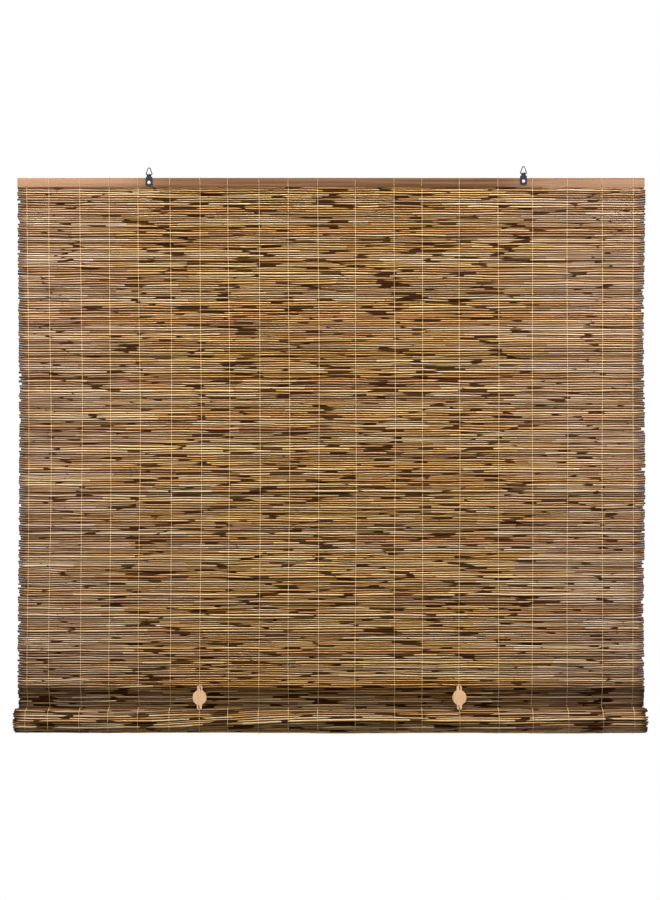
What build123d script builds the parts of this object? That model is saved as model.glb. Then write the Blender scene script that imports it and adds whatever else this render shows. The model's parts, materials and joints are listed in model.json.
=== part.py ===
"""Roll-up reed blind, hung by two wire rings, its lower end rolled up and held by two flat hooks.

Frame, in millimetres: X along the width, Y through the thickness with the front facing -Y, Z up.
The origin is halfway along the blind, on the level of the left ring's bearing point, in the rings' plane.
"""

import os
from math import acos, asin, atan2, cos, degrees, hypot, pi, sin, sqrt

from build123d import *

os.makedirs("parts", exist_ok=True)

# Driving dimensions, mm and degrees

sheet_width = 1200.0
reed_diameter = 4.1
reed_thinning = 0.6  # from the thickest stem to the thinnest
course_gap = 0.2
end_raggedness = 4.0  # how far a stem may stop short of the edge
stem_joint_gap = 0.8
stem_joint_spread = 380.0  # how far from the middle two stems may meet

batten_height = 18.0
batten_thickness = 5.0
batten_corner = 0.8

string_diameter = 1.5
string_clearance = 0.1  # from the batten that the strings pass over
string_bend_radius = 1.5
string_fold_gap = 1.5  # from the fold to where the slack part's strands start
strings_set_out_over = 1200.0  # width of the mat that string_spread was chosen for
string_spread = (
    -582, -540, -480, -425, -369, -308, -251, -197, -138, -82,
    -25, 46, 121, 174, 245, 320, 385, 452, 519, 578,
)

ring_wire = 1.8
ring_width = 13.2
ring_height = 14.9
ring_corner_radius = 1.6  # of the wire's centre line
ring_apex_radius = 2.4
ring_eye_clearance = 0.2
hangers_beside = {"left": (4, 21.0, 0.0), "right": (16, -17.0, 2.5)}  # string, X from it, rise

strap_thickness = 0.7
strap_fold_gap = 0.2
plate_width = 13.0
plate_neck_clearance = 0.5  # from the ring's legs
plate_drop = 15.0  # below the batten's top edge
plate_shoulder = 2.0  # above the batten's top edge
plate_corner = 2.0
eye_rise = 5.7  # ring's pivot above the batten's top edge

screw_diameter = 3.0
screw_head_diameter = 6.3
screw_head_height = 2.2
screw_drop = 9.5  # below the batten's top edge
screw_depth = 3.8  # into the batten
screw_clearance = 0.05

top_courses = 12  # stay flat when the blind is rolled right up
rolling_bands = 14  # that the courses which roll up are shared between
roll_radius = 26.0
lift_turns = 6
layer_clearance = 0.2  # least gap in each half turn
roll_overhang = 3.0  # at each end, past the sheet
core_clearance = 0.3

hook_length = 46.0
hook_width = 26.5
hook_body_height = 29.0
hook_stub_width = 9.6
hook_thickness = 2.2
hook_slot_clearance = 0.15
hook_slot_depth = 9.0
hook_slot_slant = 9.0
hook_fillet = 3.0
hook_rise = 1.0  # above the fold
hook_lap = 8.0  # how far its length outreaches the fold's height above the roll
hook_strings = {"left": 6, "right": 14}  # which of string_places each one hangs on

running_gap = 0.3  # between pieces that move past each other

# Levels and depths worked out from them

reed_radius = reed_diameter / 2
course_pitch = reed_diameter + course_gap
string_radius = string_diameter / 2
wire_radius = ring_wire / 2
string_places = [x * sheet_width / strings_set_out_over for x in string_spread]
hanger_places = {
    side: (string_places[beside] + away, rise)
    for side, (beside, away, rise) in hangers_beside.items()
}
plate_neck_width = ring_width - 2 * ring_wire - 2 * plate_neck_clearance
plate_thickness = 2 * strap_thickness + strap_fold_gap
eye_radius = wire_radius + ring_eye_clearance
pivot_z = -(ring_height - 3 * wire_radius)  # the ring bears inside its apex
batten_top = pivot_z - eye_rise
batten_bottom = batten_top - batten_height
sheet_y = plate_thickness / 2 + batten_thickness / 2
string_offset = batten_thickness / 2 + string_clearance + string_radius

wound_radius = roll_radius - reed_radius  # middle of the outermost layer
core_radius = hypot(batten_height, batten_thickness) / 2 + core_clearance + reed_radius
roll_half_turns = 1 + int((wound_radius - core_radius) / (reed_radius + layer_clearance))
layer_step = (wound_radius - core_radius) / (roll_half_turns - 1)  # lost in each half turn
lift_travel = lift_turns * 2 * pi * wound_radius
middle_courses = round(lift_travel / course_pitch)
fold_z = batten_bottom - (top_courses + middle_courses) * course_pitch
roll_drop = hook_length - hook_lap + roll_radius
roll_z = fold_z - roll_drop
lean = asin(wound_radius / roll_drop)
slack_length = sqrt(roll_drop**2 - wound_radius**2)
slack_down = Vector(0, sin(lean), -cos(lean))
slack_back = Vector(0, cos(lean), sin(lean))
fold_point = Vector(0, sheet_y, fold_z)


def share(number, step):
    """A fixed, evenly scattered value from 0 to 1 for each number."""
    return number * step % 1.0


def add_course(number, centre):
    """Two stems of their own thickness that meet end to end at a scattered place."""
    left = -sheet_width / 2 + end_raggedness * share(number, 0.7548)
    right = sheet_width / 2 - end_raggedness * share(number, 0.5698)
    meeting = stem_joint_spread * (2 * share(number, 0.6180) - 1)
    ends = (left, meeting - stem_joint_gap / 2), (meeting + stem_joint_gap / 2, right)
    for half, (start, end) in enumerate(ends):
        thinning = reed_thinning / 2 * share(2 * number + half, 0.4142)
        with Locations(Location((start, centre.Y, centre.Z), (0, 90, 0))):
            Cylinder(
                reed_radius - thinning, end - start, align=(Align.CENTER, Align.CENTER, Align.MIN)
            )


def course_centre(number):
    return Vector(0, sheet_y, batten_bottom - (number + 0.5) * course_pitch)


def save(piece, name):
    piece.part.label = name
    export_step(piece.part, f"parts/{name}.step")


# Head batten, drilled for the two hanger screws

with BuildPart() as head_batten:
    with BuildSketch(Plane.YZ.offset(-sheet_width / 2)):
        with Locations((sheet_y, batten_top - batten_height / 2)):
            RectangleRounded(batten_thickness, batten_height, batten_corner)
    extrude(amount=sheet_width)
    for x, rise in hanger_places.values():
        with BuildSketch(Plane.XZ.offset(-(sheet_y - batten_thickness / 2))):
            with Locations((x, batten_top - screw_drop + rise)):
                Circle(screw_diameter / 2 + screw_clearance)
        extrude(amount=-(screw_depth + running_gap), mode=Mode.SUBTRACT)
save(head_batten, "head_batten")

# Hangers: a strap folded over the ring's lower wire, a screw through both leaves, and the ring.
# Half of the ring's wire runs along the bottom, round a corner, up a leg tangent to both arcs, to the apex.

corner_offset = ring_width / 2 - wire_radius - ring_corner_radius
apex_rise = ring_height - ring_wire - ring_apex_radius
centres_apart = hypot(corner_offset, apex_rise - ring_corner_radius)
leg_angle = degrees(
    atan2(corner_offset, apex_rise - ring_corner_radius)
    + asin((ring_corner_radius - ring_apex_radius) / centres_apart)
)

for side, (x, rise) in hanger_places.items():
    eye_z = pivot_z + rise
    plate_top_z = batten_top + plate_shoulder + rise
    plate_bottom_z = batten_top - plate_drop + rise
    screw_z = batten_top - screw_drop + rise
    strap_front = Plane.XZ.offset(plate_thickness / 2)

    with BuildPart() as plate:
        with BuildSketch(strap_front) as leaf:
            with Locations((x, (plate_top_z + plate_bottom_z) / 2)):
                RectangleRounded(plate_width, plate_top_z - plate_bottom_z, plate_corner)
            with Locations((x, eye_z)):
                Rectangle(plate_neck_width, eye_z - screw_z, align=(Align.CENTER, Align.MAX))
        extrude(amount=-plate_thickness)
        with BuildSketch(Plane.YZ.offset(x - plate_neck_width / 2)):
            with Locations((0, eye_z)):
                Circle(eye_radius + strap_thickness)
        extrude(amount=plate_neck_width)
        with BuildSketch(Plane.YZ.offset(x - plate_width / 2)):
            with Locations((0, eye_z)):
                Circle(eye_radius)
            with Locations((0, eye_z)):
                Rectangle(strap_fold_gap, eye_z - plate_bottom_z, align=(Align.CENTER, Align.MAX))
        extrude(amount=plate_width, mode=Mode.SUBTRACT)
        with BuildSketch(strap_front):
            with Locations((x, screw_z)):
                Circle(screw_diameter / 2 + screw_clearance)
        extrude(amount=-plate_thickness, mode=Mode.SUBTRACT)
    save(plate, f"hanger_plate_{side}")

    with BuildPart() as screw:
        with BuildSketch(strap_front):
            with Locations((x, screw_z)):
                Circle(screw_head_diameter / 2)
        extrude(amount=screw_head_height)
        rim = screw.faces().sort_by(Axis.Y)[0].edges()
        fillet(rim, screw_head_height * 0.8)
        with BuildSketch(strap_front):
            with Locations((x, screw_z)):
                Circle(screw_diameter / 2)
        extrude(amount=-(plate_thickness + screw_depth))
    save(screw, f"hanger_screw_{side}")

    with BuildPart() as ring:
        with BuildLine(Plane.XZ) as half_bend:
            Line((x, eye_z), (x + corner_offset, eye_z))
            corner_centre = (x + corner_offset, eye_z + ring_corner_radius)
            corner = CenterArc(corner_centre, ring_corner_radius, -90, 90 + leg_angle)
            apex_centre = (x, eye_z + apex_rise)
            apex = CenterArc(apex_centre, ring_apex_radius, leg_angle, 90 - leg_angle)
            Line(corner @ 1, apex @ 0)
        with BuildSketch(Plane.YZ.offset(x)):
            with Locations((0, eye_z)):
                Circle(wire_radius)
        sweep(path=half_bend.wire())
        mirror(about=Plane.YZ.offset(x))
    save(ring, f"hanger_ring_{side}")

# Reed courses: one band that stays flat, then the bands that roll up

band_ends = [0] + [
    top_courses + round(middle_courses * band / rolling_bands) for band in range(rolling_bands + 1)
]
for band_number, (first, end) in enumerate(zip(band_ends, band_ends[1:]), start=1):
    with BuildPart() as band:
        for number in range(first, end):
            add_course(number, course_centre(number))
    save(band, f"reed_band_{band_number:02d}")

# Warp strings: each passes up the front, over the batten and down the back

strand_end = fold_z + string_radius + running_gap
over_batten = batten_top + string_clearance + string_radius

for string_number, x in enumerate(string_places, start=1):
    with BuildPart() as string:
        with BuildLine(Plane.YZ.offset(x)) as route:
            FilletPolyline(
                (sheet_y - string_offset, strand_end),
                (sheet_y - string_offset, over_batten),
                (sheet_y + string_offset, over_batten),
                (sheet_y + string_offset, strand_end),
                radius=string_bend_radius,
            )
        with BuildSketch(Plane.XY.offset(strand_end)):
            with Locations((x, sheet_y - string_offset)):
                Circle(string_radius)
        sweep(path=route.line)
    save(string, f"warp_string_{string_number:02d}")

# Slack part of the sheet, from the fold back and down to where it meets the roll

slack_start = course_pitch / 2 + (running_gap - (course_pitch - reed_diameter)) * 2
slack_end = slack_length - reed_radius - running_gap
slack_courses = int((slack_end - slack_start) / course_pitch) + 1
slack_pitch = (slack_end - slack_start) / (slack_courses - 1)

with BuildPart() as slack_reeds:
    for number in range(slack_courses):
        distance = slack_start + number * slack_pitch
        add_course(top_courses + middle_courses + number, fold_point + slack_down * distance)
save(slack_reeds, "slack_reeds")

front_strand_end = slack_length - sqrt(
    (wound_radius - layer_step + reed_radius + running_gap) ** 2
    - (wound_radius + layer_step - string_offset - string_radius) ** 2
)
with BuildPart() as slack_strings:
    slack_section = Plane(
        origin=fold_point + slack_down * string_fold_gap, x_dir=(1, 0, 0), z_dir=tuple(slack_down)
    )
    for face, strand_end in ((-1, slack_end), (1, front_strand_end)):
        with BuildSketch(slack_section):
            with Locations([(x, face * string_offset) for x in string_places]):
                Circle(string_radius)
        extrude(amount=strand_end - string_fold_gap)
save(slack_strings, "slack_strings")

# Roll: one band wound inwards from the slack, in half turns about two centres, with its batten inside

seam_angle = degrees(lean)
seam_side = Vector(cos(lean), sin(lean))


def half_turn_centre(half_turn):
    return Vector(sheet_y, roll_z) - seam_side * (layer_step * (half_turn % 2))


def layer_arcs(inset):
    """The half turns of one side of the band, from the outside in."""
    for half_turn in range(roll_half_turns):
        centre = half_turn_centre(half_turn)
        radius = wound_radius - half_turn * layer_step - inset
        start = seam_angle - 180.0 * half_turn
        CenterArc((centre.X, centre.Y), radius, start, -180)


roll_length = sheet_width + 2 * roll_overhang
with BuildPart() as bottom_roll:
    with BuildSketch(Plane.YZ.offset(-roll_length / 2)):
        with BuildLine():
            with BuildLine() as outer:
                layer_arcs(-reed_radius)
            with BuildLine() as inner:
                layer_arcs(reed_radius)
            Line(outer.line @ 0, inner.line @ 0)
            Line(outer.line @ 1, inner.line @ 1)
        make_face()
    extrude(amount=roll_length)
save(bottom_roll, "bottom_roll")

core_centre = half_turn_centre(roll_half_turns - 1)
with BuildPart() as bottom_batten:
    core_plane = Plane(
        origin=(-sheet_width / 2, core_centre.X, core_centre.Y),
        x_dir=tuple(slack_back),
        z_dir=(1, 0, 0),
    )
    with BuildSketch(core_plane):
        RectangleRounded(batten_thickness, batten_height, batten_corner)
    extrude(amount=sheet_width)
save(bottom_batten, "bottom_batten")

# Roll hooks: flat, slotted at both ends, from a warp string at the fold to the front of the roll

hook_top_y = sheet_y - reed_radius - 1.5 * running_gap
hook_top_z = fold_z + hook_rise
to_axis = hypot(sheet_y - hook_top_y, hook_top_z - roll_z)
to_roll = roll_radius + running_gap
spread = acos((to_axis**2 + hook_length**2 - to_roll**2) / (2 * to_axis * hook_length))
hook_tilt = spread - atan2(sheet_y - hook_top_y, hook_top_z - roll_z)

for side, string_index in hook_strings.items():
    hook_back = Plane(
        origin=(string_places[string_index], hook_top_y, hook_top_z),
        x_dir=(1, 0, 0),
        z_dir=(0, -cos(hook_tilt), sin(hook_tilt)),
    )
    with BuildPart() as hook:
        with BuildSketch(hook_back) as outline:
            with Locations((0, -hook_length / 2)):
                Ellipse(hook_width / 2, hook_body_height / 2)
                RectangleRounded(hook_stub_width, hook_length, hook_stub_width * 0.3)
            body_top = (hook_body_height - hook_length) / 2
            waist = outline.vertices().filter_by_position(
                Axis.Y, body_top - hook_body_height, body_top
            )
            fillet(waist, hook_fillet)
            with Locations((0, 0), (0, -hook_length)):
                Rectangle(
                    string_diameter + 2 * hook_slot_clearance,
                    2 * hook_slot_depth,
                    rotation=hook_slot_slant,
                    mode=Mode.SUBTRACT,
                )
        extrude(amount=hook_thickness)
    save(hook, f"roll_hook_{side}")
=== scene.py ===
"""Looks of a roll-up reed blind: reeds, twine, battens, hangers and roll hooks, in metres.

The mat is one sheet of reed courses carried along one path: straight down from the head batten,
back along the slack, and round and round in the roll. A depth on the mat is a distance along that path.
"""

import json
from math import asin, cos, pi, radians, sin, tau

import bpy
import numpy as np
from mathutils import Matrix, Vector


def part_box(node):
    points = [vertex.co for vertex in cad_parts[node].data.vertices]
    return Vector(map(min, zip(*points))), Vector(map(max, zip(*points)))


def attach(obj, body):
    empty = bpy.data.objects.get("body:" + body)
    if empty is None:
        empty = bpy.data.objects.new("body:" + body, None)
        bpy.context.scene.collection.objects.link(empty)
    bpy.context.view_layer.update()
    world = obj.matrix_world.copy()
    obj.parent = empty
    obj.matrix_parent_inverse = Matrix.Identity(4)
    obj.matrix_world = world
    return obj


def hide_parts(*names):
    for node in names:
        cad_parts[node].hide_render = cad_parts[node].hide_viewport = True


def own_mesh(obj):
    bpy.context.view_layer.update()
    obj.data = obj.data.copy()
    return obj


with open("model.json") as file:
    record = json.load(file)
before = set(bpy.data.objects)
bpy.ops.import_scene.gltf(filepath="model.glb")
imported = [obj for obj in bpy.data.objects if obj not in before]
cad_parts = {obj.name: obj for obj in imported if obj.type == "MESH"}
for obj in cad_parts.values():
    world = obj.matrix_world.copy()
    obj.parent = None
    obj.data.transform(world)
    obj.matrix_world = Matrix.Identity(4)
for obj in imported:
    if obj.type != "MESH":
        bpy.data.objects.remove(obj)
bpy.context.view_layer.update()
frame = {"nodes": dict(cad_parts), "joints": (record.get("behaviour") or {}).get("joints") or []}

# What the frame gives

JOINTS = {joint["name"]: joint for joint in frame["joints"]}
BATTEN_LOW, BATTEN_HIGH = (np.array(corner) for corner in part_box("head_batten"))
ROLL_LOW, ROLL_HIGH = (np.array(corner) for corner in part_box("bottom_roll"))
ROLL_AXIS = np.array(JOINTS["roll_turn"]["pos_m"])[1:]
SHEET_Y = ROLL_AXIS[0]
MAT_TOP = BATTEN_LOW[2]
BAND_NAMES = sorted(name for name in frame["nodes"] if name.startswith("reed_band_"))
STRING_NAMES = sorted(name for name in frame["nodes"] if name.startswith("warp_string_"))
STRING_X = [sum(corner[0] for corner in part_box(name)) / 2 for name in STRING_NAMES]
SHEET_WIDTH = BATTEN_HIGH[0] - BATTEN_LOW[0]

# Sizes

COURSE = 0.0043  # from one reed course to the next
REED_RADIUS = 0.00205
REED_LAP = 0.00022  # how far a course reaches under the next
BORE_DEPTH = 0.0045  # of the hollow in a cut end
BORE_SHARE = 0.55
TWINE_RADIUS = 0.00055
TWINE_GAP = 0.0001
LAYER_STEP = 0.00245  # each half turn's loss of radius
ROLL_HALF_TURNS = 6
FIRST_BAND_COURSES = 12
BAND_COURSES = 15
INTERNODES = 7  # lengths in a course
JOINT_STEP = 0.0006  # half the length of a leaf joint's step
FOLD_EASE = 3 * COURSE

OUTER_RADIUS = ROLL_AXIS[1] - ROLL_LOW[2]
WOUND_RADIUS = OUTER_RADIUS - REED_RADIUS
FLAT_COURSES = FIRST_BAND_COURSES + BAND_COURSES * (len(BAND_NAMES) - 1)
FLAT_LENGTH = FLAT_COURSES * COURSE
FOLD_Z = MAT_TOP - FLAT_LENGTH
LEAN = asin(WOUND_RADIUS / (FOLD_Z - ROLL_AXIS[1]))
SLACK_LENGTH = WOUND_RADIUS / np.tan(LEAN)
LAYER_RADII = WOUND_RADIUS - LAYER_STEP * np.arange(ROLL_HALF_TURNS)
ROLL_LENGTH = pi * LAYER_RADII.sum()
SLACK_COURSES = round(SLACK_LENGTH / COURSE)
ROLL_COURSES = round(ROLL_LENGTH / COURSE)
OUTER_TURN_COURSES = round(pi * LAYER_RADII[:3].sum() / COURSE)


# Shader maths


class Shade:
    """A node's output socket, or a plain number, whose arithmetic adds Math nodes to its material."""

    def __init__(self, tree, socket):
        self.tree, self.socket = tree, socket

    def node(self, kind, settings=(), inputs=(), output=0):
        """Any node: its settings first, then its sockets' values or links; gives one of its outputs."""
        made = self.tree.nodes.new(kind)
        for name, value in dict(settings).items():
            if name == "stops":
                elements = made.color_ramp.elements
                while len(elements) < len(value):
                    elements.new(1.0)
                for element, (place, colour) in zip(elements, value):
                    element.position, element.color = place, (*colour, 1.0)
            else:
                setattr(made, name, value)
        for key, value in dict(inputs).items():
            if isinstance(value, Shade):
                self.tree.links.new(value.socket, made.inputs[key])
            else:
                made.inputs[key].default_value = value
        return Shade(self.tree, made.outputs[output])

    def math(self, operation, *others, clamp=False):
        values = dict(enumerate((self, *others)))
        return self.node("ShaderNodeMath", {"operation": operation, "use_clamp": clamp}, values)

    def __add__(self, other):
        return self.math("ADD", other)

    def __sub__(self, other):
        return self.math("SUBTRACT", other)

    def __rsub__(self, other):
        return self.node("ShaderNodeMath", {"operation": "SUBTRACT"}, {0: other, 1: self})

    def __mul__(self, other):
        return self.math("MULTIPLY", other)

    def __truediv__(self, other):
        return self.math("DIVIDE", other)

    __radd__ = __add__
    __rmul__ = __mul__

    def rise(self, low, high):
        """Smoothly from 0 at low to 1 at high."""
        settings = {"interpolation_type": "SMOOTHSTEP"}
        return self.node("ShaderNodeMapRange", settings, {0: self, 1: low, 2: high})

    def tint(self, low, high):
        """A colour from low, at 0, to high, at 1; either may itself be a Shade."""
        blend = {6: low if isinstance(low, Shade) else (*low, 1.0)}
        blend[7] = high if isinstance(high, Shade) else (*high, 1.0)
        settings = {"data_type": "RGBA", "clamp_factor": True}
        return self.node("ShaderNodeMix", settings, {0: self, **blend}, output=2)

    def mixed(self, other, share):
        """This colour with a share of another one in it."""
        settings = {"data_type": "RGBA", "clamp_factor": True}
        return self.node("ShaderNodeMix", settings, {0: share, 6: self, 7: other}, output=2)

    def ramp(self, *stops):
        return self.node("ShaderNodeValToRGB", {"stops": stops}, {0: self})

    def scaled(self, x, y, z):
        """A vector times a fixed vector."""
        settings = {"operation": "MULTIPLY"}
        return self.node("ShaderNodeVectorMath", settings, {0: self, 1: (x, y, z)})

    def noise(self, scale, detail=2.0, roughness=0.5):
        inputs = {"Vector": self, "Scale": scale, "Detail": detail, "Roughness": roughness}
        return self.node("ShaderNodeTexNoise", (), inputs)

    def bump(self, distance, strength=1.0):
        inputs = {"Height": self, "Distance": distance, "Strength": strength}
        return self.node("ShaderNodeBump", (), inputs)

    def part(self, axis):
        return self.node("ShaderNodeSeparateXYZ", (), {0: self}, output="XYZ".index(axis))


def material(name, **fixed):
    """A new material, a Shade to start its nodes from, and the shader that feed() completes."""
    made = bpy.data.materials.new(name)
    made.use_nodes = True
    tree = made.node_tree
    shader = tree.nodes["Principled BSDF"]
    for socket, value in fixed.items():
        shader.inputs[socket.replace("_", " ")].default_value = value
    return made, Shade(tree, None), shader


def feed(start, shader, **varying):
    """Links what varies over the surface to the shader's sockets."""
    for socket, value in varying.items():
        start.tree.links.new(value.socket, shader.inputs[socket.replace("_", " ")])


def reed_material():
    """Reed: pale sheathed lengths that run out in points, dark lengths between them, bare grey ends whose
    paleness is partly painted sheen, and painted shade along each reed's sides.
    """
    made, start, shader = material(
        "reed",
        Specular_IOR_Level=0.05,
        Coat_Roughness=0.22,
        Coat_IOR=1.45,
        Coat_Tint=(1.0, 0.90, 0.74, 1.0),
    )
    place = start.node("ShaderNodeTexCoord", output="Object")
    along = start.node("ShaderNodeUVMap", {"uv_map": "along"})
    finish = start.node("ShaderNodeAttribute", {"attribute_name": "finish"}, output="Color")
    zone = start.node("ShaderNodeAttribute", {"attribute_name": "zone"}, output="Color")
    tone, warmth, bare_and_sheen = finish.part("X"), finish.part("Y"), finish.part("Z")
    half_dark, seed = zone.part("X"), zone.part("Y")
    distance, around = along.part("X"), along.part("Y")

    # The dark part: straight at the leaf joint, running out in a ragged point at the other end
    ragged = place.noise(420.0, 2.0) - 0.5
    point = ((around + seed).math("FRACT") * 2.0 - 1.0).math("ABSOLUTE")
    to_start = half_dark - distance
    to_tip = half_dark + distance - point * 0.030
    depth = to_start.math("MINIMUM", to_tip) + ragged * 0.006
    dark = depth.rise(-0.0006, 0.0012)

    # The pale part, and the bare stem near the cut ends, paler and greyer there partly as painted sheen
    fibres = place.scaled(9.0, 900.0, 900.0).noise(1.0, 3.0, 0.6)
    blotches = place.scaled(14.0, 60.0, 60.0).noise(1.0, 2.0)
    pale = (tone + (blotches - 0.5) * 0.35).ramp(
        (0.0, (0.14, 0.055, 0.012)),
        (0.3, (0.38, 0.165, 0.030)),
        (0.6, (0.63, 0.330, 0.072)),
        (0.85, (0.91, 0.660, 0.32)),
        (1.0, (0.99, 0.820, 0.50)),
    )
    hue = warmth.ramp(
        (0.0, (0.52, 0.36, 0.080)), (0.5, (0.62, 0.32, 0.085)), (1.0, (0.50, 0.18, 0.055))
    )
    pale = pale.mixed(hue, 0.35)
    stem_and_sheen_colour = (blotches * 0.6 + tone * 0.6 - 0.1).ramp(
        (0.15, (0.20, 0.100, 0.062)), (0.5, (0.60, 0.39, 0.26)), (0.85, (0.98, 0.74, 0.56))
    )
    lit = bare_and_sheen.tint(pale, stem_and_sheen_colour)
    sheath = seed.ramp(
        (0.0, (0.045, 0.012, 0.001)),
        (0.4, (0.075, 0.025, 0.004)),
        (0.7, (0.100, 0.042, 0.012)),
        (1.0, (0.170, 0.085, 0.022)),
    )
    colour = dark.tint(lit, sheath)
    streak = fibres.rise(0.25, 0.75)
    fibre_colour = dark.tint((0.15, 0.070, 0.020), (0.02, 0.010, 0.005))
    colour = (streak * 0.55).tint(colour, fibre_colour)
    joint = 1.0 - to_start.math("ABSOLUTE").rise(0.0, 0.0012)
    colour = (joint * 0.6).tint(colour, (0.03, 0.016, 0.008))
    # Painted shade: each reed is darkened along its sides, where neighbours shade it, leaving the two
    # upper crests, front and back, lit; near the cut ends the crests are darkened as well
    front, back = ((around - crest) * tau for crest in (0.90, 0.60))
    lit_crests = front.math("COSINE").math("MAXIMUM", back.math("COSINE")).rise(0.45, 1.0)
    painted_shade = (1.0 - lit_crests * (1.0 - zone.part("Z") * 0.85)) * 0.98
    colour = painted_shade.tint(colour, (0.056, 0.016, 0.001))
    height = fibres * 0.5 + dark * -0.4
    feed(
        start,
        shader,
        Base_Color=colour,
        Roughness=dark * 0.2 + streak * 0.12 + 0.36,
        Coat_Weight=(1.0 - dark) * (1.0 - bare_and_sheen * 0.5) * (lit_crests * 0.62 + 0.04),
        Normal=height.bump(0.0003, 0.6),
    )
    return made


def twine_material():
    """Cotton twine: two plies wound round each other, seen as slanting ridges."""
    made, start, shader = material("twine", Roughness=0.85, Specular_IOR_Level=0.2)
    place = start.node("ShaderNodeTexCoord", output="Object")
    along = start.node("ShaderNodeUVMap", {"uv_map": "along"})
    ply = ((along.part("X") * 480.0 + along.part("Y") * 2.0) * tau).math("SINE") * 0.5 + 0.5
    fuzz = place.noise(900.0, 2.0)
    colour = (ply * 0.6 + fuzz * 0.5).ramp(
        (0.15, (0.44, 0.24, 0.08)), (0.55, (0.78, 0.51, 0.22)), (1.0, (0.92, 0.70, 0.38))
    )
    feed(start, shader, Base_Color=colour, Normal=(ply + fuzz * 0.4).bump(0.0003, 0.7))
    return made


def batten_material():
    """Sanded wood: long grain along X with a few darker veins, paler towards both ends, partly from wear
    and partly as painted sheen.
    """
    made, start, shader = material("batten_wood", Specular_IOR_Level=0.35)
    place = start.node("ShaderNodeTexCoord", output="Object")
    warp = place.scaled(2.0, 8.0, 8.0).noise(1.0, 2.0)
    grain = place.scaled(3.0, 260.0, 260.0).noise(1.0, 4.0, 0.6)
    veins = place.scaled(1.6, 70.0, 70.0).noise(1.0, 2.0)
    shade = (grain * 0.55 + veins * 0.3 + warp * 0.25).rise(0.38, 0.72)
    colour = shade.ramp(
        (0.0, (0.10, 0.040, 0.014)), (0.5, (0.20, 0.090, 0.034)), (1.0, (0.30, 0.15, 0.062))
    )
    # Paler towards both ends: partly fade and wear, partly painted sheen of the side lights
    faded_and_sheen = place.part("X").math("ABSOLUTE").rise(0.30, 0.42)
    worn_and_sheen = shade.tint((0.36, 0.19, 0.10), (0.58, 0.33, 0.19))
    colour = colour.mixed(worn_and_sheen, faded_and_sheen * 0.66)
    feed(start, shader, Base_Color=colour, Roughness=shade * 0.15 + 0.45, Normal=grain.bump(0.0004, 0.5))
    return made


def hook_material():
    """Pale smooth plywood with faint grain along the hook."""
    made, start, shader = material("hook_wood", Specular_IOR_Level=0.3)
    place = start.node("ShaderNodeTexCoord", output="Object")
    grain = place.scaled(420.0, 120.0, 30.0).noise(1.0, 3.0, 0.55)
    colour = grain.ramp(
        (0.25, (0.62, 0.35, 0.18)), (0.5, (0.76, 0.46, 0.25)), (0.8, (0.86, 0.56, 0.33))
    )
    feed(start, shader, Base_Color=colour, Roughness=grain * 0.2 + 0.35, Normal=grain.bump(0.0002, 0.4))
    return made


def metal_material(name, low, high, rough, metallic, scale):
    """Paint or metal with a fine speckle between two colours and two roughnesses."""
    made, start, shader = material(name, Metallic=metallic)
    place = start.node("ShaderNodeTexCoord", output="Object")
    speckle = place.noise(scale, 3.0, 0.6)
    feed(
        start,
        shader,
        Base_Color=speckle.ramp((0.3, low), (0.7, high)),
        Roughness=speckle * 0.2 + rough,
        Normal=speckle.bump(0.0001, 0.4),
    )
    return made


REED = reed_material()
TWINE = twine_material()
BATTEN_WOOD = batten_material()
HOOK_WOOD = hook_material()
BLACK_PAINT = metal_material(
    "hanger_paint", (0.012, 0.013, 0.016), (0.03, 0.032, 0.04), rough=0.18, metallic=0.0, scale=900.0
)
WIRE = metal_material(
    "ring_wire", (0.020, 0.020, 0.022), (0.055, 0.055, 0.058), rough=0.40, metallic=0.3, scale=1400.0
)
ZINC = metal_material(
    "screw_zinc", (0.80, 0.80, 0.80), (0.95, 0.95, 0.95), rough=0.35, metallic=0.25, scale=1200.0
)


# Meshes


def mesh_piece(name, points, faces, finish, body, corner_data=(), uvs=()):
    """A piece from an array of points and lists of equal-sided faces, with data on its face corners."""
    mesh = bpy.data.meshes.new(name)
    mesh.vertices.add(len(points))
    mesh.vertices.foreach_set("co", np.ascontiguousarray(points, np.float32).ravel())
    corners = np.concatenate([group.ravel() for group in faces])
    sizes = np.concatenate([np.full(len(group), group.shape[1]) for group in faces])
    mesh.loops.add(len(corners))
    mesh.loops.foreach_set("vertex_index", corners.astype(np.int32))
    mesh.polygons.add(len(sizes))
    mesh.polygons.foreach_set("loop_start", (np.cumsum(sizes) - sizes).astype(np.int32))
    mesh.update(calc_edges=True)
    for layer, values in dict(uvs).items():
        mesh.uv_layers.new(name=layer).data.foreach_set("uv", values.astype(np.float32).ravel())
    for layer, values in dict(corner_data).items():
        data = mesh.attributes.new(layer, "FLOAT_COLOR", "CORNER").data
        data.foreach_set("color", values.astype(np.float32).ravel())
    mesh.shade_smooth()
    mesh.materials.append(finish)
    piece = bpy.data.objects.new(name, mesh)
    bpy.context.scene.collection.objects.link(piece)
    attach(piece, body)
    return piece


def tube_faces(tubes, rings, sides):
    """Quads of many tubes of rings x sides points, then their end triangles onto one pole at each end."""
    tube = np.arange(tubes)[:, None, None] * rings * sides
    ring = np.arange(rings - 1)[None, :, None] * sides
    side = np.arange(sides)[None, None, :]
    after = (side + 1) % sides
    near = tube + ring
    quads = np.stack([near + side, near + after, near + sides + after, near + sides + side], -1)
    base = np.arange(tubes)[:, None] * rings * sides
    side, after = side[0], after[0]
    first = tubes * rings * sides + 2 * np.arange(tubes)[:, None]
    low = np.stack([base + after, base + side, first + 0 * side], -1)
    end = base + (rings - 1) * sides
    high = np.stack([end + side, end + after, first + 1 + 0 * side], -1)
    caps = np.stack([low, high], 1)
    return quads.reshape(-1, 4), caps.reshape(-1, 3)


# The mat's path


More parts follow.
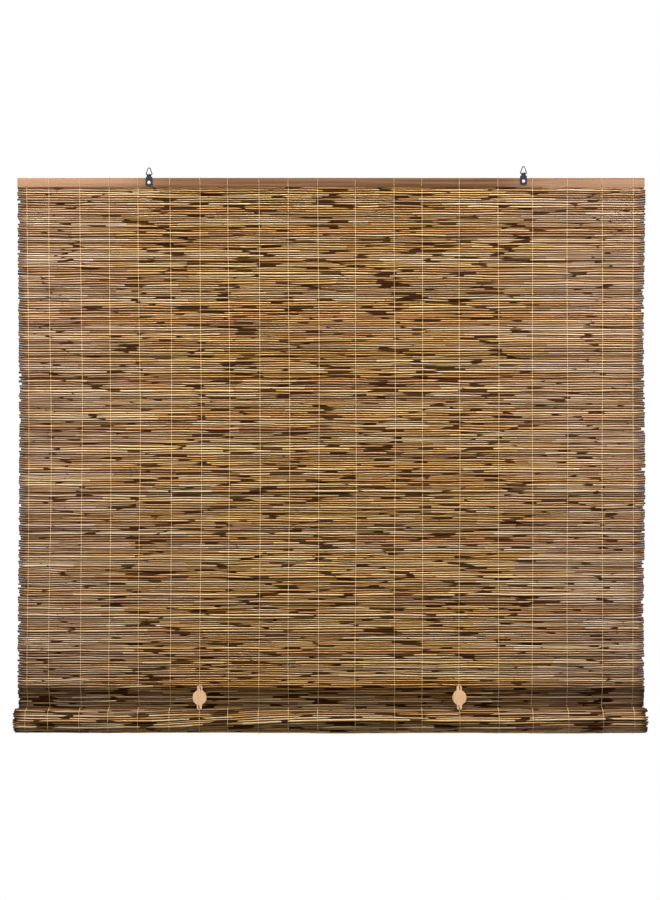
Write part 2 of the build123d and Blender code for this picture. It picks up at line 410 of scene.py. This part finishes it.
def mat_point(x, depth, out):
    """Point (y, z) at a place x and a depth on the mat, moved out towards its back.

    Straight down, then straight along the lean, then half turns about two centres a layer step apart,
    each with its radius less by that step. The winding runs ahead by a wave over x, slightly askew.
    """
    x, depth, out = np.broadcast_arrays(x, np.asarray(depth, float), np.asarray(out, float))
    askew = 0.0045 * np.sin(x * 4.1 + 0.6) + 0.0025 * np.sin(x * 9.3 + 2.0) + 0.004 * x / 0.6
    tight = np.clip((depth - FLAT_LENGTH - SLACK_LENGTH) / 0.06, 0, 1)
    depth = depth + askew * tight * tight * (3 - 2 * tight)
    flat_y = SHEET_Y + out
    flat_z = MAT_TOP - depth
    run = depth - FLAT_LENGTH
    back_y, back_z = cos(LEAN), sin(LEAN)
    lean_y = SHEET_Y + run * back_z + out * back_y
    lean_z = FOLD_Z - run * back_y + out * back_z
    wound = np.clip(run - SLACK_LENGTH, 0, ROLL_LENGTH - 1e-9)
    starts = np.concatenate([[0], np.cumsum(pi * LAYER_RADII)])
    turn = np.clip(np.searchsorted(starts, wound, side="right") - 1, 0, ROLL_HALF_TURNS - 1)
    radius = LAYER_RADII[turn]
    angle = LEAN - pi * turn - (wound - starts[turn]) / radius
    shift = LAYER_STEP * (turn % 2)
    roll_y = ROLL_AXIS[0] - back_y * shift + (radius + out) * np.cos(angle)
    roll_z = ROLL_AXIS[1] - back_z * shift + (radius + out) * np.sin(angle)
    # The fold is eased over a few reeds, so that the two straight parts meet in a bend
    ease = np.clip(run / FOLD_EASE + 0.5, 0, 1)
    ease = ease * ease * (3 - 2 * ease)
    y = flat_y + (lean_y - flat_y) * ease
    z = flat_z + (lean_z - flat_z) * ease
    on_roll = run > SLACK_LENGTH
    return np.where(on_roll, roll_y, y), np.where(on_roll, roll_z, z)


# Reed courses


class Mat:
    """The whole mat: where each course's joints, dark lengths and edges lie."""

    def __init__(self, seed):
        rng = np.random.default_rng(seed)
        self.count = FLAT_COURSES + SLACK_COURSES + ROLL_COURSES
        self.lay_joints(rng)
        self.lay_edges(rng)
        self.lay_waves(np.random.default_rng(5))

    def lay_joints(self, rng):
        """Each course has a fixed number of lengths between joints, uneven, that fill its width.

        A course mostly repeats the shares of the one above, so that dark parts gather in patches.
        Dark parts are long in the middle of the sheet and below the fold, and short near its sides,
        where the stems are bare.
        """
        n = self.count
        number = np.arange(n)
        below_fold = np.clip((number - FLAT_COURSES + 3) / 6, 0, 1)[:, None]
        rolled = np.clip((number - FLAT_COURSES - SLACK_COURSES + 4) / 8, 0, 1)

        # Cut ends, more ragged on the roll
        ragged = rng.gamma(1.2, 0.0012, (n, 2)).clip(0, 0.008)
        drift = 0.0030 * np.sin(number / n * pi * 1.4) ** 2
        ragged = ragged * (1 + 2.2 * rolled[:, None])
        self.left = -SHEET_WIDTH / 2 - 0.0005 + drift * (1 - rolled) - 0.0065 * rolled + ragged[:, 0]
        self.right = SHEET_WIDTH / 2 + 0.002 - 0.003 * np.sin(number / 40.0) ** 2 - ragged[:, 1]
        self.right += 0.0035 * rolled
        rolled = rolled[:, None]

        # Joints between lengths
        leader = np.maximum.accumulate(np.where(rng.uniform(0, 1, n) < 0.68, number, 0))
        share = rng.uniform(0.45, 1.55, (n, INTERNODES))[leader]
        share = share * rng.uniform(0.85, 1.18, (n, INTERNODES))
        share = np.cumsum(share, axis=1) / share.sum(axis=1, keepdims=True)
        share = np.hstack([np.zeros((n, 1)), share])
        self.joints = self.left[:, None] + (self.right - self.left)[:, None] * share

        # The dark part of each length
        low, high = self.joints[:, :-1], self.joints[:, 1:]
        self.middle = low + (high - low) * rng.uniform(0.35, 0.65, low.shape)
        inward = 1 - np.clip((np.abs(self.middle) - 0.33) / 0.24, 0, 1)
        inward = np.maximum(inward, 0.8 * below_fold)
        room = 0.36 * (high - low)
        reach = rng.uniform(0.006, 0.036, low.shape) * rng.uniform(0.45, 1.0, low.shape)
        reach = reach * (0.26 + 0.74 * inward) * (1.14 + 0.2 * below_fold)
        self.half_dark = np.minimum(0.0016 + reach, room)

        # The finish of each length
        # Bare stems near the sides: their paler, greyer colour is partly the stems' own and partly
        # painted sheen
        outward = np.clip((np.abs(self.middle) - 0.26) / 0.26, 0, 1)
        self.bare_and_sheen = outward * rng.uniform(0.45, 1.0, low.shape) * (1 - 0.45 * rolled)
        course_tone = rng.beta(1.1, 1.0, (n, 1))
        tone = 0.36 * course_tone + 0.64 * rng.uniform(0, 1, low.shape)
        contrast = 1.3 + 0.5 * below_fold
        self.tone = np.clip(0.5 + (tone - 0.5) * contrast + 0.2 * rolled, 0, 0.97)
        warmth = rng.normal(0.38, 0.26, (n, 1)) + rng.normal(0, 0.22, low.shape)
        self.warmth = np.clip(warmth + 0.2 * below_fold, 0, 1)
        self.seed = rng.uniform(0, 1, low.shape)
        self.toward = np.where(rng.uniform(0, 1, (n, 1)) < 0.5, -1.0, 1.0)

    def lay_edges(self, rng):
        """Edges between courses on a grid over X: thick lengths push their thin neighbours narrow.

        Each course's share of height follows its dark lengths; the running sum of shares gives the
        edges, less its own average over nearby courses, so that no course wanders from its level.
        """
        n = self.count
        self.grid = np.linspace(-SHEET_WIDTH / 2 - 0.01, SHEET_WIDTH / 2 + 0.01, 401)
        thick = rng.normal(1.0, 0.15, (n, 1))
        gap = np.abs(self.grid[None, :, None] - self.middle[:, None, :]) - self.half_dark[:, None, :]
        thin = np.clip(1 - gap.min(axis=2) / 0.03, 0, 1)
        waves = rng.uniform(0, tau, (n, 3, 1))
        lengths = np.array([0.9, 0.41, 0.23])[None, :, None]
        ripple = np.sin(self.grid * tau / lengths + waves).sum(axis=1) * 0.05
        share = np.clip(thick * (1.06 - 0.20 * thin) + ripple, 0.55, 1.5)
        edges = np.vstack([np.zeros((1, len(self.grid))), np.cumsum(share - 1, axis=0)])
        reach = np.arange(-9, 10)
        weight = np.exp(-((reach / 6.0) ** 2))
        padded = np.pad(edges, ((9, 9), (0, 0)), mode="edge")
        spans = [padded[k : k + n + 1] * weight[k] for k in range(len(reach))]
        smooth = sum(spans) / weight.sum()
        self.edges = (np.arange(n + 1)[:, None] + np.clip(edges - smooth, -0.45, 0.45)) * COURSE
        self.edges[0] = 0

    def lay_waves(self, rng):
        """How far each course stands out of the sheet over X: a level of its own and two sine waves."""
        phase = rng.uniform(0, tau, (self.count, 2, 1))
        lengths = np.array([0.75, 0.37])[None, :, None]
        level = rng.normal(0, 0.0004, (self.count, 1)).clip(-0.0008, 0.0008)
        self.out = level + np.sin(self.grid * tau / lengths + phase).sum(axis=1) * 0.00022
        self.out[FLAT_COURSES : FLAT_COURSES + SLACK_COURSES] *= 0.3
        self.out[FLAT_COURSES + SLACK_COURSES :] *= 1.8

    def at(self, table, courses, x):
        """A table over the grid, read at places x (courses x places) with straight lines between."""
        step = self.grid[1] - self.grid[0]
        place = np.clip((x - self.grid[0]) / step, 0, len(self.grid) - 1.001)
        low = place.astype(int)
        part = place - low
        rows = courses[:, None]
        return table[rows, low] * (1 - part) + table[rows, low + 1] * part


MAT = Mat(20)
RINGS_BEFORE = (0.0, 0.25, 0.5, 0.75)  # shares of the pale part before a length's dark part
RINGS_AFTER = (0.15, 0.36, 0.57, 0.78)  # and of the one after it


def ring_places(courses, detail):
    """Each course's rings: their places on X, how far each is recessed, how wide, and rings a length.

    A length's rings stand at fixed shares of its pale parts and at the ends of its dark part. Beyond
    a course's first and last ring the tube turns back inside its cut end: one narrow ring at the same
    place and one further in.
    """
    start, stop = MAT.joints[courses, :-1], MAT.joints[courses, 1:]
    middle, half_dark = MAT.middle[courses], MAT.half_dark[courses]
    before = middle - half_dark - start
    after = stop - middle - half_dark
    spread = [(start + before * share, 0.0) for share in RINGS_BEFORE]
    spread += [
        (middle - half_dark, 0.7),
        (middle, 1.0),
        (middle + half_dark - JOINT_STEP, 1.0),
        (middle + half_dark + JOINT_STEP, -0.35),
    ]
    spread += [(middle + half_dark + after * share, 0.0) for share in RINGS_AFTER]
    if not detail:
        spread = [(start, 0.0), (middle, 0.5)]
    places = np.stack([place for place, _ in spread], -1).reshape(len(courses), -1)
    recess = np.tile([sunk for _, sunk in spread], (len(courses), INTERNODES))
    inner = np.array([BORE_DEPTH, 0.0])
    x = np.hstack([start[:, :1] + inner, places, stop[:, -1:], stop[:, -1:] - inner[::-1]])
    width = np.ones(x.shape)
    width[:, :2] = width[:, -2:] = BORE_SHARE
    return x, np.pad(recess, ((0, 0), (2, 3))), width, len(spread)


def reed_corner_data(courses, x, to_end, per_length, shown, sides):
    """What the reed material reads at every face corner, in the order of the piece's faces.

    finish: tone, warmth and bareness of the length, the bare stems' paleness partly painted sheen. zone:
    half its dark part, its seed, and nearness to a cut end, where the reed material also paints shade.
    along: distance from the middle of the dark part, and the share of the way round.
    """
    n, spans = len(courses), x.shape[1] - 1
    length = np.clip((np.arange(spans) - 2) // per_length, 0, INTERNODES - 1)

    def at_corners(near, far):
        """Values at a span's near and far ring, for the four corners of each of its quads."""
        four = np.stack([near, near, far, far], -1)[:, :, None]
        return np.broadcast_to(four, (n, spans, sides, 4))[..., ::-1]

    def of_lengths(*values):
        """Colours of courses x lengths for every corner, the caps' taken from the end lengths."""
        colour = np.stack([*values, np.ones(values[0].shape)], -1)
        tubes = np.broadcast_to(colour[:, length][:, :, None, None], (n, spans, sides, 4, 4))
        caps = np.broadcast_to(colour[:, [0, -1]][:, :, None, None], (n, 2, sides, 3, 4))
        return np.concatenate([tubes.reshape(-1, 4), caps.reshape(-1, 4)])

    centre, toward = MAT.middle[courses][:, length], MAT.toward[courses]
    u = at_corners((x[:, :-1] - centre) * toward, (x[:, 1:] - centre) * toward)
    v = shown + (np.arange(sides)[:, None] + np.array([0, 1, 1, 0])) / sides
    v = np.broadcast_to(v, (n, spans, sides, 4))[..., ::-1]
    cap_uv = np.full((n * 2 * sides * 3, 2), 0.05)
    along = np.concatenate([np.stack([u, v], -1).reshape(-1, 2), cap_uv])

    half_dark = MAT.half_dark[courses]
    finish = of_lengths(MAT.tone[courses], MAT.warmth[courses], MAT.bare_and_sheen[courses])
    zone = of_lengths(half_dark, MAT.seed[courses], np.ones(half_dark.shape))
    cut = 1 - np.clip(to_end / 0.005, 0, 1)
    cut = at_corners(cut[:, :-1], cut[:, 1:]).ravel()
    zone[: len(cut), 2] = cut
    return {"finish": finish, "zone": zone}, {"along": along}


def reed_piece(name, first, end, body, shown=0.0, detail=True, sides=8):
    """Courses first to end as tubes with hollow cut ends.

    A ring of a tube is an ellipse: half its height is half the gap between the course's edges there,
    and half its thickness is that of the reed, less a recess where the length is dark.
    """
    courses = np.arange(first, end)
    x, recess, width, per_length = ring_places(courses, detail)
    top = MAT.at(MAT.edges, courses, x)
    bottom = MAT.at(MAT.edges, courses + 1, x)
    out = MAT.at(MAT.out, courses, x)
    to_end = np.minimum(x - MAT.left[courses][:, None], MAT.right[courses][:, None] - x)
    taper = 0.80 + 0.20 * np.clip(to_end / 0.014, 0, 1) ** 0.7
    half_height = ((bottom - top) / 2 + REED_LAP) * taper
    half_depth = (REED_RADIUS * 0.45 + half_height * 0.55) * (1 - 0.16 * recess)
    turn = np.arange(sides) * tau / sides
    depth = ((top + bottom) / 2)[..., None] + (half_height * width)[..., None] * np.sin(turn)
    offset = out[..., None] - (half_depth * width)[..., None] * np.cos(turn)
    y, z = mat_point(x[..., None], depth, offset)
    points = np.stack([np.broadcast_to(x[..., None], y.shape), y, z], -1)
    tips = [0, -1]
    pole_y, pole_z = mat_point(x[:, tips], (top + bottom)[:, tips] / 2, out[:, tips])
    poles = np.stack([x[:, tips], pole_y, pole_z], -1)
    quads, caps = tube_faces(len(courses), x.shape[1], sides)
    data, uvs = reed_corner_data(courses, x, to_end, per_length, shown, sides)
    return mesh_piece(
        name,
        np.concatenate([points.reshape(-1, 3), poles.reshape(-1, 3)]),
        [quads[:, ::-1], caps[:, ::-1]],
        REED,
        body,
        data,
        uvs,
    )


# Twine


CROSSING_PARTS = np.array([1 / 6, 1 / 2, 5 / 6])  # of a course's height
CROSSING_SWING = np.array([0.62, 1.0, 0.62])  # share of a strand's full reach there


def twine_piece(name, strings, first, end, body, sides=5, over_batten=False):
    """Two strands for each string, each in front of one course and behind the next, crossing between."""
    courses = np.arange(first, end)
    side = np.where(courses % 2, 1.0, -1.0)[:, None]
    count = (courses[:, None] + CROSSING_PARTS).ravel()
    paths = []
    for number in strings:
        string_x = STRING_X[number]
        places = np.full((len(courses), 1), string_x)
        top = MAT.at(MAT.edges, courses, places)
        bottom = MAT.at(MAT.edges, courses + 1, places)
        depth = (top + (bottom - top) * CROSSING_PARTS).ravel()
        reach = ((bottom - top) / 2 * 0.9 + TWINE_GAP + TWINE_RADIUS) * CROSSING_SWING
        lean = (0.0022 - 0.004 * string_x) * np.sin(pi * np.clip(count / FLAT_COURSES, 0, 1)) ** 2
        wander = 0.0006 * np.sin(count / 23 + number * 2.4)
        for strand in (-1.0, 1.0):
            x = string_x + strand * TWINE_RADIUS * 0.9 * np.cos(pi * count) + lean + wander
            out = (reach * side * strand + MAT.at(MAT.out, courses, places)).ravel()
            line = (x, depth, out)
            if over_batten:
                line = carried_over_batten(line, strand)
            paths.append(np.stack([line[0], *mat_point(*line)], -1))
    return tubes_along(name, np.array(paths), TWINE_RADIUS, sides, TWINE, body)


def carried_over_batten(line, strand):
    """Adds the strand's way up one face of the batten and halfway over its top."""
    height = BATTEN_HIGH[2] - BATTEN_LOW[2]
    half = (BATTEN_HIGH[1] - BATTEN_LOW[1]) / 2
    face = strand * (half + TWINE_RADIUS)
    rise = np.array([1.0, 0.97, 0.8, 0.5, 0.2, 0.03])
    x = line[0][0] + 0 * rise
    depth = -height * rise - np.array([TWINE_RADIUS, 0, 0, 0, 0, 0])
    out = np.array([0.0, face, face, face, face, face * 0.9])
    return [np.concatenate([a, b]) for a, b in zip((x, depth, out), line)]


def tubes_along(name, paths, radius, sides, finish, body):
    """Round tubes along many paths of as many points: a circle square to the path at each point."""
    ahead = np.gradient(paths, axis=1)
    ahead /= np.linalg.norm(ahead, axis=2, keepdims=True)
    across = np.array((1.0, 0.0, 0.0)) - ahead * ahead[..., :1]
    across /= np.linalg.norm(across, axis=2, keepdims=True)
    up = np.cross(ahead, across)
    turn = np.arange(sides) * tau / sides
    ring = across[:, :, None] * np.cos(turn)[:, None] + up[:, :, None] * np.sin(turn)[:, None]
    points = paths[:, :, None] + radius * ring
    tubes, rings = paths.shape[:2]
    poles = paths[:, [0, -1]]
    quads, caps = tube_faces(tubes, rings, sides)
    run = np.cumsum(np.linalg.norm(np.diff(paths, axis=1, prepend=paths[:, :1]), axis=2), axis=1)
    u = np.stack([run[:, :-1], run[:, :-1], run[:, 1:], run[:, 1:]], -1)[:, :, None]
    around = (np.arange(sides)[:, None] + np.array([0, 1, 1, 0])) / sides
    uv = np.stack(np.broadcast_arrays(u, around[None, None]), -1).reshape(-1, 2)
    cap_uv = np.zeros((caps.size, 2))
    return mesh_piece(
        name,
        np.concatenate([points.reshape(-1, 3), poles.reshape(-1, 3)]),
        [quads, caps],
        finish,
        body,
        uvs={"along": np.concatenate([uv, cap_uv])},
    )


# The mat's pieces, one for each of the frame's

band_starts = [0] + [FIRST_BAND_COURSES + BAND_COURSES * k for k in range(len(BAND_NAMES))]

for name, first, end in zip(BAND_NAMES, band_starts, band_starts[1:]):
    band = reed_piece(name.replace("band", "courses"), first, end, "hanging_sheet")
    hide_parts(name)
    if first:
        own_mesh(band)

every_string = range(len(STRING_X))
twine_piece("twine_top", every_string, 0, FIRST_BAND_COURSES, "hanging_sheet", over_batten=True)
for number, name in enumerate(STRING_NAMES):
    twine_name = name.replace("warp_string", "twine")
    twine = twine_piece(twine_name, [number], FIRST_BAND_COURSES, FLAT_COURSES, "hanging_sheet")
    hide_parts(name)
    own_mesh(twine)

slack_end = FLAT_COURSES + SLACK_COURSES
slack = reed_piece("slack_courses", FLAT_COURSES, slack_end, "roll_carrier")
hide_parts("slack_reeds")
slack_twine = twine_piece("slack_twine", every_string, FLAT_COURSES, slack_end, "roll_carrier")
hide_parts("slack_strings")

outer_end = slack_end + OUTER_TURN_COURSES
# The roll's courses start their share of the way round half a turn on, so the painted shade keeps its lit
# crests on the reeds' upper sides at the roll's front
roll_outer = reed_piece("roll_outer_courses", slack_end, outer_end, "roll", shown=0.5)
roll_inner = reed_piece("roll_inner_courses", outer_end, MAT.count, "roll", shown=0.5, detail=False)
roll_twine = twine_piece("roll_twine", every_string, slack_end, outer_end, "roll")
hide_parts("bottom_roll")
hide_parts("bottom_roll")
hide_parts("bottom_roll")

# Finishes of the frame's own pieces


def finish_nodes(finish, *names):
    """Gives the frame's own pieces a finish."""
    for name in names:
        for slot in frame["nodes"][name].material_slots:
            slot.material = finish


finish_nodes(BATTEN_WOOD, "head_batten", "bottom_batten")
finish_nodes(BLACK_PAINT, "hanger_plate_left", "hanger_plate_right")
finish_nodes(WIRE, "hanger_ring_left", "hanger_ring_right")
finish_nodes(ZINC, "hanger_screw_left", "hanger_screw_right")
finish_nodes(HOOK_WOOD, "roll_hook_left", "roll_hook_right")

# Studio: a pale floor that sweeps up behind, soft lights, and the camera

CENTRE_Z = -0.5385
REFLECTOR_Y = 2.6
REFLECTOR_Z = -3.2
FLOOR_Z = -4.2
ROOM_RADIUS = 11.0


def stage_piece(name, points, faces, white):
    """A surface of the studio, which is no part of the blind."""
    mesh = bpy.data.meshes.new(name)
    mesh.from_pydata(points.tolist(), [], faces.tolist())
    mesh.shade_smooth()
    mesh.materials.append(white)
    piece = bpy.data.objects.new(name, mesh)
    bpy.context.scene.collection.objects.link(piece)
    return piece


def reflector():
    """A white screen behind the blind that only throws light: a line, a quarter arc and a line up."""
    bend = 0.8
    arc = np.linspace(-pi / 2, 0, 16)
    y = np.concatenate([[-8.0], REFLECTOR_Y - bend + bend * np.cos(arc), [REFLECTOR_Y]])
    height = 7.0
    z = np.concatenate([[REFLECTOR_Z], REFLECTOR_Z + bend + bend * np.sin(arc), [REFLECTOR_Z + height]])
    x = np.array([-9.0, 9.0])
    points = np.stack([np.repeat(x, len(y)), np.tile(y, 2), np.tile(z, 2)], -1)
    k = np.arange(len(y) - 1)
    quads = np.stack([k, k + len(y), k + len(y) + 1, k + 1], -1)
    white, _, _ = material(
        "reflector_white", Roughness=0.9, Specular_IOR_Level=0.1, Base_Color=(0.86, 0.86, 0.86, 1.0)
    )
    stage_piece("studio_reflector", points, quads, white).visible_camera = False


def room():
    """Floor, wall and dome in one, turned about Z: a line out, a quarter arc up, and a round vault."""
    bend = 2.0
    arc = np.linspace(-pi / 2, 0, 12)
    vault = np.linspace(0, pi / 2, 16)
    vault_height = 9.0
    steps = 48
    wall = ROOM_RADIUS - bend + bend * np.cos(arc)
    out = np.concatenate([[0.0], wall, ROOM_RADIUS * np.cos(vault[1:])])
    bend_z = FLOOR_Z + bend + bend * np.sin(arc)
    z = np.concatenate([[FLOOR_Z], bend_z, FLOOR_Z + bend + vault_height * np.sin(vault[1:])])
    turn = np.arange(steps) * tau / steps
    across, away = np.outer(np.cos(turn), out), np.outer(np.sin(turn), out)
    points = np.stack([across, away, np.tile(z, (steps, 1))], -1)
    rows = len(out)
    near = (np.arange(steps) * rows)[:, None] + np.arange(rows - 1)[None, :]
    far = (near + rows) % (steps * rows)
    quads = np.stack([near, near + 1, far + 1, far], -1).reshape(-1, 4)
    glow, _, _ = material(
        "room_white",
        Base_Color=(0.0, 0.0, 0.0, 1.0),
        Specular_IOR_Level=0.0,
        Emission_Color=(1.0, 1.0, 1.0, 1.0),
        Emission_Strength=1.0,
    )
    shell = stage_piece("studio_floor", points.reshape(-1, 3), quads, glow)
    shell.visible_diffuse = shell.visible_glossy = shell.visible_shadow = False
    shell.visible_transmission = False


def soft_light(name, place, target, size, power, spread, colour=(1.0, 1.0, 1.0)):
    """A softbox at a place, turned to a target; its light keeps within a spread in degrees."""
    data = bpy.data.lights.new(name, "AREA")
    data.shape = "RECTANGLE"
    data.spread = radians(spread)
    data.size, data.size_y = size
    data.energy = power
    data.color = colour
    lamp = bpy.data.objects.new(name, data)
    lamp.location = place
    lamp.rotation_euler = (Vector(target) - Vector(place)).to_track_quat("-Z", "Y").to_euler()
    bpy.context.scene.collection.objects.link(lamp)


reflector()
room()
SIDE_LIGHT = (0.95, 0.97, 1.0)
soft_light("key", (0.0, -2.2, 3.6), (0.0, 0.0, -0.1), (2.6, 0.5), 38.0, 65)
soft_light("front_fill", (0.0, -6.0, 0.6), (0.0, 0.0, CENTRE_Z), (3.0, 2.0), 3.0, 60)
for name, side in (("left_box", -1), ("right_box", 1)):
    place, target = (side * 0.95, -0.55, -0.10), (side * 0.52, 0.0, -0.30)
    soft_light(name, place, target, (0.3, 1.0), 3.2, 150, SIDE_LIGHT)
soft_light("wall_top", (0.0, 0.7, 2.2), (0.0, REFLECTOR_Y, -0.9), (6.0, 0.8), 80.0, 120)
soft_light("wall_low", (0.0, 0.9, -2.9), (0.0, REFLECTOR_Y, -0.6), (6.0, 0.8), 50.0, 120)

world = bpy.data.worlds.new("studio_air")
world.use_nodes = True
world.node_tree.nodes["Background"].inputs[0].default_value = (1.0, 1.0, 1.0, 1.0)
world.node_tree.nodes["Background"].inputs[1].default_value = 0.06
bpy.context.scene.world = world
bpy.context.scene.view_settings.view_transform = "Standard"

CAMERA_DISTANCE = 4.0
VIEW_HEIGHT = 1.7226
SENSOR_MM = 36.0
camera_data = bpy.data.cameras.new("camera")
camera_data.sensor_width = SENSOR_MM
camera_data.lens = SENSOR_MM * CAMERA_DISTANCE / VIEW_HEIGHT
camera = bpy.data.objects.new("camera", camera_data)
camera.location = (-0.002, SHEET_Y - CAMERA_DISTANCE, CENTRE_Z)
camera.rotation_euler = (radians(90), 0, 0)
bpy.context.scene.collection.objects.link(camera)
bpy.context.scene.camera = camera
